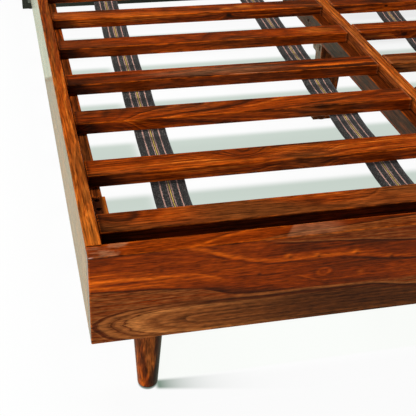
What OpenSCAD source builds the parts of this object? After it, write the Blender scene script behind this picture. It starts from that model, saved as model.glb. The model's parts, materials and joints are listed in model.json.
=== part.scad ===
// Low slatted bed frame: solid rails on tapered legs, two banks of slats on
// ledgers beside a centre beam, webbing straps under the slats, and a framed
// headboard that stands on the floor. Millimetres, +Z up, foot end at -Y.

/* [Mattress] */
// Width of the mattress that the frame holds
mattress_w = 1524; // [1370:1:1830]
// Length of the mattress that the frame holds
mattress_l = 1981; // [1880:1:2130]
// Play between the mattress and each side rail
side_play = 6; // [2:0.5:15]
// Play between the mattress and each end
end_play = 2; // [1:0.5:15]

/* [Rails] */
// Height of the foot rail and the side rails
rail_h = 184; // [160:1:230]
// Thickness of the foot rail
foot_rail_t = 34; // [28:0.5:45]
// Thickness of a side rail
side_rail_t = 27; // [25:0.5:40]
// Radius of the eased edges on the boards
edge_r = 2; // [1:0.5:4]

/* [Slats] */
// Width of a slat
slat_w = 58; // [40:1:80]
// Thickness of a slat
slat_t = 26; // [20:1:35]
// Depth of the slat tops below the rail tops
slat_drop = 19; // [10:1:40]
// Distance from the foot rail to the first slat
first_slat_gap = 56.5; // [30:0.5:80]
// Distance from one slat to the next, front edge to front edge
slat_pitch = 194; // [150:1:202]
// Gap between a slat's outer end and the side rail
slat_side_gap = 4; // [1:0.5:8]
// Gap between a slat's inner end and the centre board
slat_centre_gap = 3; // [1:0.5:8]

/* [Ledgers and centre beam] */
// Height of the ledgers
ledger_h = 52; // [40:1:70]
// Thickness of a side ledger
side_ledger_t = 27; // [20:1:40]
// Thickness of a centre ledger
centre_ledger_t = 28; // [20:1:40]
// Thickness of the centre board
centre_t = 25; // [18:1:35]
// Depth of the centre board's top below the rail tops
centre_drop = 18; // [10:1:30]
// Gap between the centre beam's end and its hanger plate
beam_end_gap = 0.5; // [0.2:0.1:2]
// Thickness of the steel of the beam hangers
hanger_t = 3; // [2:0.5:5]
// Depth of the shelf of a beam hanger
hanger_shelf = 45; // [30:1:70]
// Height of the cheeks of a beam hanger
hanger_cheek_h = 38; // [20:1:50]
// Play between the beam and each cheek of its hanger
hanger_play = 0.5; // [0.2:0.1:2]

/* [Corners] */
// Length of the corner blocks along the side rails
corner_block_l = 208; // [160:1:240]
// Thickness of the corner blocks
corner_block_t = 32; // [24:1:45]
// Width of a leg block across the bed
leg_block_w = 132; // [120:1:180]
// Depth of a leg block along the bed
leg_block_d = 66; // [56:1:90]
// Height of a leg block
leg_block_h = 40; // [34:1:60]
// Diameter of the wooden dowels in the foot corners
dowel_d = 10; // [8:1:12]
// Length of the dowels in the foot corners
dowel_l = 54; // [40:1:60]
// Depth of the dowels in the foot rail
dowel_depth = 22; // [16:1:24]
// Distance of the dowels from the top and the bottom of a side rail
dowel_inset = 40; // [25:1:60]

/* [Legs] */
// Height of the rails above the floor
leg_h = 159; // [120:1:220]
// Distance of a front leg's axis from the frame's side
leg_x = 106; // [95:1:125]
// Distance of a front leg's axis from the foot rail's face
leg_y = 50; // [42:1:70]
// Diameter of a front leg at its top
leg_top_d = 56; // [46:1:64]
// Diameter of a front leg near the floor
leg_foot_d = 38; // [32:1:42]
// Radius of the rounded lower edge of a leg
leg_round_r = 5; // [3:0.5:8]
// Height of the glides under the legs
glide_h = 3; // [2:0.5:6]
// Diameter of the glides
glide_d = 26; // [18:1:28]
// Chamfer round the glides
glide_chamfer = 0.6; // [0.3:0.1:1]
// Diameter of the hanger bolts in the front legs
hanger_bolt_d = 10; // [8:1:12]
// Length of the hanger bolts in the front legs
hanger_bolt_l = 60; // [50:1:66]

/* [Support leg] */
// Distance of the support leg's front from the foot rail's face
support_y = 984; // [900:1:1040]
// Width of the support leg across the bed at its top
support_top_w = 69; // [60:1:76]
// Width of the support leg across the bed at the floor
support_foot_w = 56; // [46:1:60]
// Depth of the support leg's head along the bed
support_head_d = 68; // [60:1:80]
// Height of the support leg's head
support_head_h = 39; // [30:1:50]
// Depth of the support leg's shaft under its head
support_shaft_d = 43; // [36:1:50]
// Set-back of the shaft's front at the floor
support_rake = 12; // [4:1:16]
// Radius of the rounded corner of the head
support_head_r = 8; // [4:1:12]
// Radius of the hollow between head and shaft
support_fillet_r = 5; // [2:1:8]

/* [Headboard] */
// Height of the headboard above the floor
headboard_h = 960; // [700:5:1200]
// Thickness of the headboard
headboard_t = 34; // [30:1:50]
// Overhang of the headboard past each side rail
headboard_overhang = 20; // [15:1:60]
// Width of the headboard's posts
post_w = 62; // [56:1:80]
// Height of the headboard's top and bottom rails
cross_rail_h = 62; // [50:1:90]
// Height of the headboard's middle rail
mid_rail_h = 120; // [100:1:140]
// Width of the frame that shows round the panel
panel_margin = 20; // [14:1:24]
// Thickness of the headboard's panel
panel_t = 12; // [8:1:14]
// Play round the panel in its rebate
panel_play = 0.5; // [0.2:0.1:1.5]
// Length of the tenons on the headboard's rails
tenon_l = 38; // [25:1:40]
// Thickness of the tenons on the headboard's rails
tenon_t = 10; // [7:0.5:11]
// Shoulder above and below the tenons of the top and bottom rails
tenon_shoulder = 12; // [6:1:16]
// Depth of the middle rail's lower edge below the ledgers
mid_rail_drop = 16; // [8:1:20]
// Height of the middle rail's tenons
mid_tenon_h = 40; // [30:1:50]
// Height of the middle rail's tenons above its lower edge
mid_tenon_inset = 2; // [0:1:6]

/* [Straps] */
// Width of a webbing strap
strap_w = 67; // [50:1:80]
// Thickness of a webbing strap
strap_t = 1.8; // [1.2:0.1:3]
// Sag of a strap between two slats
strap_sag = 9; // [3:1:18]
// Distance from a side rail's inner face to the outer strap's middle
outer_strap_x = 154; // [110:1:220]
// Distance from the centre board to the inner strap's middle
inner_strap_x = 162; // [110:1:220]
// Turn of the outer left strap from straight, in degrees
outer_strap_turn = 0.75; // [-1:0.25:1]
// Offset of the inner right strap from its mirrored place
inner_right_shift = 10; // [-15:1:15]

/* [Fasteners] */
// Diameter of the wood screws
screw_d = 5; // [4:0.5:6]
// Diameter of the wood screws' heads
screw_head_d = 9; // [8:0.5:11]
// Length of the screws through the ledgers
ledger_screw_l = 44; // [36:1:50]
// Distance of the first ledger screw from the foot rail's face
ledger_screw_y = 393; // [320:1:480]
// Distance between two screws in a ledger
ledger_screw_pitch = 700; // [500:1:740]
// Least distance of the last ledger screw from the headboard
ledger_screw_end = 90; // [60:1:160]
// Stagger of the screws from the two sides of the centre board
centre_screw_stagger = 30; // [20:1:60]
// Length of the pocket screws
pocket_screw_l = 38; // [30:1:40]
// Depth of the pocket screws' heads in their pockets
pocket_depth = 6; // [4:0.5:10]
// Tilt from upright of the pocket screws in the corner blocks, in degrees
block_tilt = 35; // [30:1:40]
// Distance of the last pocket screw from the corner block's end
corner_pocket_inset = 12; // [10:1:20]
// Distance between two pocket screws in a corner block
corner_pocket_pitch = 29; // [20:1:60]
// Tilt from upright of the pocket screws in the support leg, in degrees
support_tilt = 22; // [18:1:26]
// Distance of the pocket screws from the front and back of the support leg's head
support_pocket_inset = 15; // [12:1:20]
// Depth of the support leg's pockets below its top
support_pocket_drop = 20; // [14:1:24]
// Length of the screws that hold the leg blocks to the foot rail
block_screw_l = 90; // [80:1:92]
// Distance of those screws from the two ends of a leg block
block_screw_inset = 21; // [14:1:26]
// Length of the screws in the beam hangers
hanger_screw_l = 24; // [16:1:28]
// Distance of those screws from the beam's middle
hanger_screw_x = 22; // [12:1:30]
// Distance of those screws from the top and bottom of the ledgers
hanger_screw_inset = 12; // [8:1:18]
// Diameter of the bolts that hold the side rails to the headboard
bed_bolt_d = 8; // [6:1:10]
// Length of those bolts
bed_bolt_l = 92; // [84:1:110]
// Diameter of those bolts' heads
bed_bolt_head_d = 14; // [12:1:16]
// Height of those bolts' heads
bed_bolt_head_h = 6; // [4:1:7]
// Depth of the recesses for those bolts' heads
bolt_recess = 8; // [8:1:10]
// Diameter of the recesses for those bolts' heads
bolt_recess_d = 18; // [17:1:22]
// Distance of those bolts from the top and the bottom of a side rail
bed_bolt_inset = 36; // [25:1:36]
// Distance of the barrel nuts from the end of a side rail
barrel_nut_y = 45; // [30:1:50]
// Diameter of the barrel nuts in the side rails
barrel_nut_d = 14; // [12:1:18]
// Length of the barrel nuts in the side rails
barrel_nut_l = 20; // [14:1:20]
// Diameter of the strap nails' heads
nail_head_d = 9; // [6:0.5:12]
// Diameter of the strap nails' shanks
nail_d = 2.4; // [1.8:0.1:3]
// Length of the strap nails
nail_l = 17; // [12:1:18]
// Height of the strap nails' heads
nail_head_h = 1.2; // [0.8:0.1:2]
// Distance of the strap nails from the strap's middle
nail_offset = 20; // [12:1:20]
// Radial clearance of the fasteners in their holes
hole_play = 0.1; // [0.05:0.05:0.3]
// Clearance past the end of a fastener in a blind hole
hole_end = 1; // [0.5:0.5:2]

/* [Hidden] */
$fn = 48;
BOTH_SIDES = [-1, 1];
// Overrun of a cut past the face that it starts at.
cut = 1;

inner_w = mattress_w + 2 * side_play;
inner_l = mattress_l + 2 * end_play;
frame_w = inner_w + 2 * side_rail_t;
headboard_w = frame_w + 2 * headboard_overhang;
overall_l = foot_rail_t + inner_l + headboard_t;

foot_y = -overall_l / 2;
foot_in_y = foot_y + foot_rail_t;
head_y = foot_in_y + inner_l;

rail_top = leg_h + rail_h;
slat_top = rail_top - slat_drop;
ledger_top = slat_top - slat_t;
ledger_z = ledger_top - ledger_h;
centre_board_h = rail_top - centre_drop - ledger_z;

block_end_y = foot_in_y + corner_block_l;
beam_y = foot_in_y + hanger_t + beam_end_gap;
beam_l = inner_l - 2 * (hanger_t + beam_end_gap);
beam_w = centre_t + 2 * centre_ledger_t;
slat_l = (inner_w - centre_t) / 2 - slat_side_gap - slat_centre_gap;

// The first slats stand a little off their even pitch, as they were laid by hand.
slat_shift = [0, -11, 2, -8];
slat_count = 1 + floor((inner_l - first_slat_gap - slat_w) / slat_pitch);

function shift_of(i) = i < len(slat_shift) ? slat_shift[i] : 0;
function slat_y(i) = foot_in_y + first_slat_gap + i * slat_pitch + shift_of(i);
function two_digits(n) = n < 10 ? str("0", n) : str(n);
function slat_name(side, i) = str(side < 0 ? "slat_left_" : "slat_right_", two_digits(i + 1));

STRAPS = ["strap_left_outer", "strap_left_inner", "strap_right_inner", "strap_right_outer"];
strap_side = [-1, -1, 1, 1];
strap_turn = [outer_strap_turn, 0, 0, 0];
strap_x0 = [
    -inner_w / 2 + outer_strap_x,
    -centre_t / 2 - inner_strap_x,
    centre_t / 2 + inner_strap_x + inner_right_shift,
    inner_w / 2 - outer_strap_x
];
strap_start_y = slat_y(0) + edge_r;
strap_end_y = slat_y(slat_count - 1) + slat_w - edge_r;

function strap_x(s, y) = strap_x0[s] + (y - strap_start_y) * tan(strap_turn[s]);
nail_spots = [
    for (s = [0:3], i = [0:slat_count - 1], k = BOTH_SIDES)
        let (y = slat_y(i) + slat_w / 2)
            [strap_x(s, y) + k * nail_offset, y, strap_side[s], i]
];

// Points of a rectangle from the origin, with eased corners.
function eased_rect(w, h, r, steps = 3) = [
    for (c = [[w - r, r, -90], [w - r, h - r, 0], [r, h - r, 90], [r, r, 180]], k = [0:steps])
        let (a = c[2] + 90 * k / steps)
            [c[0] + r * cos(a), c[1] + r * sin(a)]
];

// Boards from the origin corner, long axis along X, Y or Z.
module board_x(l, w, h) {
    rotate([90, 0, 90]) linear_extrude(height = l) polygon(eased_rect(w, h, edge_r));
}
module board_y(w, l, h) {
    translate([0, l, 0]) rotate([90, 0, 0]) linear_extrude(height = l) polygon(eased_rect(w, h, edge_r));
}
module board_z(w, d, h) {
    linear_extrude(height = h) polygon(eased_rect(w, d, edge_r));
}

// The left form is drawn, and mirrored for the right side.
module on_side(side) {
    if (side < 0) children();
    else mirror([1, 0, 0]) children();
}
module at_both_sides() {
    for (side = BOTH_SIDES) on_side(side) children();
}

// Countersunk wood screw along +Z, head's top face at the origin, and its hole.
screw_head_h = (screw_head_d - screw_d) / 2;
module screw(l) {
    rotate_extrude() polygon([
        [0, 0], [screw_head_d / 2, 0], [screw_d / 2, screw_head_h],
        [screw_d / 2, l - screw_d], [0, l]
    ]);
}
module screw_hole(l) {
    rotate_extrude() polygon([
        [0, -cut], [screw_head_d / 2 + hole_play, -cut], [screw_head_d / 2 + hole_play, 0],
        [screw_d / 2 + hole_play, screw_head_h], [screw_d / 2 + hole_play, l + hole_end],
        [0, l + hole_end]
    ]);
}

// Plain rod along +Z and its blind hole.
module rod(d, l) {
    cylinder(d = d, h = l);
}
module rod_hole(d, l) {
    cylinder(d = d + 2 * hole_play, h = l);
}

// Screw in a pocket that starts at the origin, along +Z, and its hole.
module pocket_screw() {
    translate([0, 0, pocket_depth]) screw(pocket_screw_l);
}
module pocket_hole() {
    translate([0, 0, pocket_depth]) screw_hole(pocket_screw_l);
    translate([0, 0, -pocket_run]) rod_hole(screw_head_d, pocket_run + pocket_depth);
}

// Places of the fasteners, drawn for the left side and along each one's +Z.
pocket_run = 3 * screw_head_d;
ledger_screw_run = foot_rail_t + inner_l - ledger_screw_y - ledger_screw_end;
ledger_screw_count = 1 + floor(ledger_screw_run / ledger_screw_pitch);
ledger_mid_z = ledger_z + ledger_h / 2;
leg_block_mid_z = leg_h + leg_block_h / 2;
dowel_z = [leg_h + dowel_inset, rail_top - dowel_inset];
bed_bolt_z = [leg_h + bed_bolt_inset, rail_top - bed_bolt_inset];
rail_mid_x = -frame_w / 2 + side_rail_t / 2;
leg_spot = [-frame_w / 2 + leg_x, foot_y + leg_y];
function ledger_screw_at(k) = foot_y + ledger_screw_y + k * ledger_screw_pitch;

module at_corner_pockets() {
    for (k = [0, 1])
        translate([
            -inner_w / 2 + corner_block_t / 2,
            block_end_y - corner_pocket_inset - k * corner_pocket_pitch,
            ledger_top
        ])
            rotate([0, 180 + block_tilt, 0]) children();
}
module at_support_pockets() {
    for (d = [support_pocket_inset, support_head_d - support_pocket_inset])
        translate([-support_top_w / 2, foot_y + support_y + d, ledger_z - support_pocket_drop])
            rotate([0, support_tilt, 0]) children();
}
module at_side_ledger_screws() {
    for (k = [0:ledger_screw_count - 1])
        translate([-inner_w / 2 + side_ledger_t, ledger_screw_at(k), ledger_mid_z])
            rotate([0, -90, 0]) children();
}
module at_centre_ledger_screws(side) {
    stagger = side < 0 ? 0 : centre_screw_stagger;
    for (k = [0:ledger_screw_count - 1])
        translate([-beam_w / 2, ledger_screw_at(k) + stagger, ledger_mid_z])
            rotate([0, 90, 0]) children();
}
module at_leg_block_screws() {
    for (x = [block_screw_inset, leg_block_w - block_screw_inset])
        translate([-inner_w / 2 + x, foot_in_y + leg_block_d, leg_block_mid_z])
            rotate([90, 0, 0]) children();
}
module at_hanger_screws() {
    for (x = BOTH_SIDES, z = [hanger_screw_inset, ledger_h - hanger_screw_inset])
        translate([x * hanger_screw_x, foot_in_y + hanger_t, ledger_z + z])
            rotate([90, 0, 0]) children();
}
module at_dowels() {
    for (z = dowel_z)
        translate([rail_mid_x, foot_in_y - dowel_depth, z])
            rotate([-90, 0, 0]) children();
}
module at_bed_bolts() {
    for (z = bed_bolt_z)
        translate([rail_mid_x, head_y + headboard_t - bolt_recess, z])
            rotate([90, 0, 0]) children();
}
module at_barrel_nuts() {
    for (z = bed_bolt_z)
        translate([rail_mid_x - barrel_nut_l / 2, head_y - barrel_nut_y, z])
            rotate([0, 90, 0]) children();
}

// The head end repeats the foot end's hanger, mirrored along the bed.
module at_head() {
    translate([0, foot_in_y + head_y, 0]) mirror([0, 1, 0]) children();
}

// Bolt with a round head, seated at the origin and pointing along +Z.
module bed_bolt() {
    head_r = bed_bolt_head_d / 2;
    rotate_extrude() polygon([
        [0, -bed_bolt_head_h], [head_r * 0.85, -bed_bolt_head_h], [head_r, -bed_bolt_head_h * 0.8],
        [head_r, 0], [bed_bolt_d / 2, 0], [bed_bolt_d / 2, bed_bolt_l], [0, bed_bolt_l]
    ]);
}
module bed_bolt_hole() {
    rod_hole(bed_bolt_d, bed_bolt_l + hole_end);
    translate([0, 0, -bolt_recess - cut]) cylinder(d = bolt_recess_d, h = bolt_recess + cut);
}

WOOD = [0.62, 0.33, 0.14];
DARK_WOOD = [0.45, 0.22, 0.09];
CHARCOAL = [0.23, 0.23, 0.21];
PANEL_GREY = [0.42, 0.43, 0.39];
STEEL = [0.62, 0.62, 0.6];
WEBBING = [0.22, 0.24, 0.24];

module foot_rail() {
    color(WOOD) difference() {
        translate([-frame_w / 2, foot_y, leg_h]) board_x(frame_w, foot_rail_t, rail_h);
        at_both_sides() {
            at_dowels() translate([0, 0, -hole_end]) rod_hole(dowel_d, dowel_l);
            at_leg_block_screws() screw_hole(block_screw_l);
        }
        at_hanger_screws() screw_hole(hanger_screw_l);
    }
}

module side_rail(side) {
    color(WOOD) on_side(side) difference() {
        translate([-frame_w / 2, foot_in_y, leg_h]) board_y(side_rail_t, inner_l, rail_h);
        at_dowels() rod_hole(dowel_d, dowel_l + hole_end);
        at_bed_bolts() bed_bolt_hole();
        at_barrel_nuts() translate([0, 0, -hole_end]) rod_hole(barrel_nut_d, side_rail_t);
        at_side_ledger_screws() screw_hole(ledger_screw_l);
        at_corner_pockets() pocket_hole();
    }
}

module corner_block(side) {
    color(DARK_WOOD) on_side(side) difference() {
        translate([-inner_w / 2, foot_in_y, ledger_z])
            board_y(corner_block_t, corner_block_l, ledger_h);
        at_corner_pockets() pocket_hole();
    }
}

module side_ledger(side) {
    color(DARK_WOOD) on_side(side) difference() {
        translate([-inner_w / 2, block_end_y, ledger_z])
            board_y(side_ledger_t, head_y - block_end_y, ledger_h);
        at_side_ledger_screws() screw_hole(ledger_screw_l);
    }
}

module centre_board() {
    color(WOOD) difference() {
        translate([-centre_t / 2, beam_y, ledger_z]) board_y(centre_t, beam_l, centre_board_h);
        for (side = BOTH_SIDES)
            on_side(side) at_centre_ledger_screws(side) screw_hole(ledger_screw_l);
    }
}

module centre_ledger(side) {
    color(DARK_WOOD) on_side(side) difference() {
        translate([-beam_w / 2, beam_y, ledger_z]) board_y(centre_ledger_t, beam_l, ledger_h);
        at_centre_ledger_screws(side) screw_hole(ledger_screw_l);
        at_support_pockets() pocket_hole();
    }
}

// Steel cradle for one end of the centre beam: back plate, shelf and cheeks.
module beam_hanger() {
    outer_w = beam_w + 2 * (hanger_play + hanger_t);
    difference() {
        translate([-outer_w / 2, foot_in_y, ledger_z - hanger_t])
            cube([outer_w, hanger_shelf, ledger_h + hanger_t]);
        translate([-outer_w / 2 + hanger_t, foot_in_y + hanger_t, ledger_z])
            cube([outer_w - 2 * hanger_t, hanger_shelf, ledger_h + hanger_t]);
        translate([-outer_w / 2 - cut, foot_in_y + hanger_t, ledger_z + hanger_cheek_h])
            cube([outer_w + 2 * cut, hanger_shelf, ledger_h]);
        at_hanger_screws() screw_hole(hanger_screw_l);
    }
}

module leg_block(side) {
    color(DARK_WOOD) on_side(side) difference() {
        translate([-inner_w / 2, foot_in_y, leg_h]) board_x(leg_block_w, leg_block_d, leg_block_h);
        at_leg_block_screws() screw_hole(block_screw_l);
        translate([leg_spot.x, leg_spot.y, leg_h - cut])
            rod_hole(hanger_bolt_d, hanger_bolt_l / 2 + cut + hole_end);
    }
}

// Turned leg that tapers to a rounded foot.
module front_leg(side) {
    foot_r = leg_foot_d / 2;
    rounding = [
        for (k = [0:4])
            let (a = -90 + 90 * k / 4)
                [foot_r + leg_round_r * (cos(a) - 1), glide_h + leg_round_r * (1 + sin(a))]
    ];
    color(WOOD) on_side(side) translate([leg_spot.x, leg_spot.y, 0]) difference() {
        rotate_extrude()
            polygon(concat([[0, glide_h]], rounding, [[leg_top_d / 2, leg_h], [0, leg_h]]));
        translate([0, 0, leg_h - hanger_bolt_l / 2 - hole_end])
            rod_hole(hanger_bolt_d, hanger_bolt_l);
    }
}

// Low disc with a small chamfer, standing on the floor.
module glide(d) {
    rotate_extrude() polygon([
        [0, 0], [d / 2 - glide_chamfer, 0], [d / 2, glide_chamfer], [d / 2, glide_h], [0, glide_h]
    ]);
}

// Side outline of the support leg: raked front, and a head that steps out behind.
function support_outline() = concat(
    [[support_rake, glide_h], [support_shaft_d, glide_h]],
    [
        for (k = [0:3])
            let (a = 180 - 90 * k / 3)
                [support_shaft_d + support_fillet_r * (1 + cos(a)),
                 ledger_z - support_head_h + support_fillet_r * (sin(a) - 1)]
    ],
    [
        for (k = [0:5])
            let (a = -90 + 90 * k / 5)
                [support_head_d - support_head_r * (1 - cos(a)),
                 ledger_z - support_head_h + support_head_r * (1 + sin(a))]
    ],
    [[support_head_d, ledger_z], [0, ledger_z]]
);
module support_leg() {
    half_top = support_top_w / 2;
    half_foot = support_foot_w / 2;
    color(WOOD) difference() {
        intersection() {
            translate([-half_top, foot_y + support_y, 0]) rotate([90, 0, 90])
                linear_extrude(height = support_top_w) polygon(support_outline());
            translate([0, foot_y + support_y + support_head_d + cut, 0]) rotate([90, 0, 0])
                linear_extrude(height = support_head_d + 2 * cut)
                    polygon([[-half_foot, 0], [half_foot, 0], [half_top, ledger_z], [-half_top, ledger_z]]);
        }
        at_both_sides() at_support_pockets() pocket_hole();
    }
}

// Slat at place i, drilled from below for the nails of its two straps.
module slat(side, i) {
    color(WOOD) difference() {
        on_side(side) translate([-inner_w / 2 + slat_side_gap, slat_y(i), ledger_top])
            board_x(slat_l, slat_w, slat_t);
        for (s = nail_spots)
            if (s[2] == side && s[3] == i)
                translate([s.x, s.y, ledger_top - cut])
                    rod_hole(nail_d, nail_l - nail_head_h - strap_t + cut + hole_end);
    }
}

// Webbing strap: flat under each slat and sagging between slats.
SAG_STEPS = 8;
strap_top_path = concat(
    [[strap_start_y, 0]],
    [
        for (i = [0:slat_count - 2], k = [0:SAG_STEPS])
            let (a = slat_y(i) + slat_w, b = slat_y(i + 1), u = k / SAG_STEPS)
                [a + (b - a) * u, -4 * strap_sag * u * (1 - u)]
    ],
    [[strap_end_y, 0]]
);
strap_outline = concat(
    strap_top_path,
    [for (n = [len(strap_top_path) - 1:-1:0]) strap_top_path[n] - [0, strap_t]]
);
module strap(s) {
    color(WEBBING) difference() {
        translate([strap_x0[s], strap_start_y, ledger_top]) rotate([0, 0, -strap_turn[s]])
            translate([-strap_w / 2, -strap_start_y, 0]) rotate([90, 0, 90])
                linear_extrude(height = strap_w) polygon(strap_outline);
        for (n = nail_spots)
            if (abs(n.x - strap_x(s, n.y)) < strap_w / 2)
                translate([n.x, n.y, ledger_top - strap_t - cut]) rod_hole(nail_d, strap_t + 2 * cut);
    }
}

// Round-headed nail along +Z, its head's lowest point at the origin.
module nail() {
    rotate_extrude() polygon([
        [0, 0], [nail_head_d * 0.3, 0], [nail_head_d / 2, nail_head_h * 0.7],
        [nail_head_d / 2, nail_head_h], [nail_d / 2, nail_head_h],
        [nail_d / 2, nail_l - nail_d], [0, nail_l]
    ], $fn = 24);
}

// Headboard: posts and rails are rebated for the panel and tenoned together.
headboard_frame_h = headboard_h - glide_h;
cross_rail_l = headboard_w - 2 * post_w;
tenon_y = head_y + panel_t + (headboard_t - panel_t - tenon_t) / 2;
mid_rail_z = ledger_z - mid_rail_drop;
cross_tenon_h = cross_rail_h - 2 * tenon_shoulder;
top_rail_z = headboard_h - cross_rail_h;
tenon_zs = [
    [glide_h + tenon_shoulder, cross_tenon_h],
    [mid_rail_z + mid_tenon_inset, mid_tenon_h],
    [top_rail_z + tenon_shoulder, cross_tenon_h]
];

module panel_rebate() {
    translate([-headboard_w / 2 + panel_margin, head_y - cut, glide_h + panel_margin])
        cube([headboard_w - 2 * panel_margin, panel_t + cut, headboard_frame_h - 2 * panel_margin]);
}

module headboard_post(side) {
    color(CHARCOAL) on_side(side) difference() {
        translate([-headboard_w / 2, head_y, glide_h]) board_z(post_w, headboard_t, headboard_frame_h);
        panel_rebate();
        for (m = tenon_zs)
            translate([-headboard_w / 2 + post_w - tenon_l - hole_end, tenon_y, m[0]])
                cube([tenon_l + hole_end + cut, tenon_t, m[1]]);
        at_bed_bolts() bed_bolt_hole();
    }
}

module tenons(m) {
    for (side = BOTH_SIDES)
        on_side(side) translate([-cross_rail_l / 2 - tenon_l, tenon_y, m[0]])
            cube([tenon_l + cut, tenon_t, m[1]]);
}

module cross_rail(z, m) {
    color(CHARCOAL) {
        difference() {
            translate([-cross_rail_l / 2, head_y, z]) board_x(cross_rail_l, headboard_t, cross_rail_h);
            panel_rebate();
        }
        tenons(m);
    }
}

module headboard_mid_rail() {
    color(CHARCOAL) difference() {
        union() {
            translate([-cross_rail_l / 2, head_y + panel_t, mid_rail_z])
                cube([cross_rail_l, headboard_t - panel_t, mid_rail_h]);
            tenons(tenon_zs[1]);
        }
        at_head() at_hanger_screws() screw_hole(hanger_screw_l);
    }
}

module headboard_panel() {
    inset = panel_margin + panel_play;
    color(PANEL_GREY) difference() {
        translate([-headboard_w / 2 + inset, head_y, glide_h + inset])
            cube([headboard_w - 2 * inset, panel_t, headboard_frame_h - 2 * inset]);
        at_both_sides() at_bed_bolts() bed_bolt_hole();
        at_head() at_hanger_screws() screw_hole(hanger_screw_l);
    }
}

module headboard_glides() {
    color(CHARCOAL) at_both_sides()
        translate([-headboard_w / 2 + post_w / 2, head_y + headboard_t / 2, 0]) glide(glide_d);
}

// Groups of equal small parts, each one a separate solid.
module front_leg_glides() {
    color(CHARCOAL) at_both_sides() translate([leg_spot.x, leg_spot.y, 0]) glide(glide_d);
}
module support_leg_glide() {
    shaft_mid = (support_rake + support_shaft_d) / 2;
    color(CHARCOAL) translate([0, foot_y + support_y + shaft_mid, 0]) glide(glide_d);
}
module corner_dowels() {
    color(WOOD) at_both_sides() at_dowels() rod(dowel_d, dowel_l);
}
module leg_hanger_bolts() {
    color(STEEL) at_both_sides()
        translate([leg_spot.x, leg_spot.y, leg_h - hanger_bolt_l / 2]) rod(hanger_bolt_d, hanger_bolt_l);
}
module bed_bolts() {
    color(STEEL) at_both_sides() at_bed_bolts() bed_bolt();
}
module barrel_nuts() {
    color(STEEL) at_both_sides() difference() {
        at_barrel_nuts() rod(barrel_nut_d, barrel_nut_l);
        at_bed_bolts() rod_hole(bed_bolt_d, bed_bolt_l + hole_end);
    }
}
module ledger_screws() {
    color(STEEL) for (side = BOTH_SIDES)
        on_side(side) {
            at_side_ledger_screws() screw(ledger_screw_l);
            at_centre_ledger_screws(side) screw(ledger_screw_l);
        }
}
module pocket_screws() {
    color(STEEL) at_both_sides() {
        at_corner_pockets() pocket_screw();
        at_support_pockets() pocket_screw();
    }
}
module leg_block_screws() {
    color(STEEL) at_both_sides() at_leg_block_screws() screw(block_screw_l);
}
module hanger_screws() {
    color(STEEL) {
        at_hanger_screws() screw(hanger_screw_l);
        at_head() at_hanger_screws() screw(hanger_screw_l);
    }
}
module strap_nails() {
    color(STEEL) for (s = nail_spots)
        translate([s.x, s.y, ledger_top - strap_t - nail_head_h]) nail();
}

foot_rail();
side_rail(-1);  // side_rail_left
side_rail(1);  // side_rail_right
side_ledger(-1);  // side_ledger_left
side_ledger(1);  // side_ledger_right
centre_board();
centre_ledger(-1);  // centre_ledger_left
centre_ledger(1);  // centre_ledger_right
support_leg();
corner_block(-1);  // corner_block_left
corner_block(1);  // corner_block_right
leg_block(-1);  // leg_block_left
leg_block(1);  // leg_block_right
front_leg(-1);  // front_leg_left
front_leg(1);  // front_leg_right
front_leg_glides();
support_leg_glide();
for (side = BOTH_SIDES, i = [0:slat_count - 1])
    slat(side, i);
for (s = [0:len(STRAPS) - 1])
    strap(s);
headboard_post(-1);  // headboard_post_left
headboard_post(1);  // headboard_post_right
cross_rail(top_rail_z, tenon_zs[2]);  // headboard_top_rail
headboard_mid_rail();
cross_rail(glide_h, tenon_zs[0]);  // headboard_bottom_rail
headboard_panel();
headboard_glides();
color(STEEL) beam_hanger();  // beam_hanger_foot
color(STEEL) at_head() beam_hanger();  // beam_hanger_head
corner_dowels();
leg_hanger_bolts();
bed_bolts();
barrel_nuts();
ledger_screws();
pocket_screws();
leg_block_screws();
hanger_screws();
strap_nails();
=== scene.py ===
"""Visible pieces, finishes and studio for a slatted bed frame in rosewood."""

import json
import math

import bmesh
import bpy
from bpy.props import FloatProperty, FloatVectorProperty, IntProperty, PointerProperty
from mathutils import Euler, Matrix, Vector, noise

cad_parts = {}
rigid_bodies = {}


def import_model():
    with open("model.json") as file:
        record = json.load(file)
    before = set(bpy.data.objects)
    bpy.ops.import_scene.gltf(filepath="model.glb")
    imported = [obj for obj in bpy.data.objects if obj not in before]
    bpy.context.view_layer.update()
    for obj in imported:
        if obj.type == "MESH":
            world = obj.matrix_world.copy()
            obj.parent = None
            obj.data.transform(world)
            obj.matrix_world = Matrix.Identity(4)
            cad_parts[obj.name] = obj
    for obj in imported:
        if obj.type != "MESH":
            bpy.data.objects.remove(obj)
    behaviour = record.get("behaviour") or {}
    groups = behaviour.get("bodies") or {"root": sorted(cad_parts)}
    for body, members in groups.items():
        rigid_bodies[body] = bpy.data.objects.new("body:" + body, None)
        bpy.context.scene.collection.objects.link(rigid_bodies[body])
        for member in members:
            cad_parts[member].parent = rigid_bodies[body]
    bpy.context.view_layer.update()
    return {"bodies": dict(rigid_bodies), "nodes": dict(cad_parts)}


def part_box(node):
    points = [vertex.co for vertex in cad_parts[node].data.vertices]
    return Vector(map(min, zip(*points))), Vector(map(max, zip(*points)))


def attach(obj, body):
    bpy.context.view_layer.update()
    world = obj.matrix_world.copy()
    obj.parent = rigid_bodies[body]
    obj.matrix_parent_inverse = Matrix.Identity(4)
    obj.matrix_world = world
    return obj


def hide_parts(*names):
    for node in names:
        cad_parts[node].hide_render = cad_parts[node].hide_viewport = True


bl_info = {
    "name": "Slatted Bed Pieces",
    "version": (1, 0, 0),
    "blender": (4, 5, 0),
    "location": "View3D > Sidebar > Bed",
    "description": "Boards, webbing and headboard of a slatted bed frame, with their finishes",
    "category": "Object",
}

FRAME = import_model()
BODY = next(iter(FRAME["bodies"]))
SIDES = ("left", "right")
SLATS = {side: sorted(n for n in FRAME["nodes"] if n.startswith("slat_" + side)) for side in SIDES}


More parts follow.
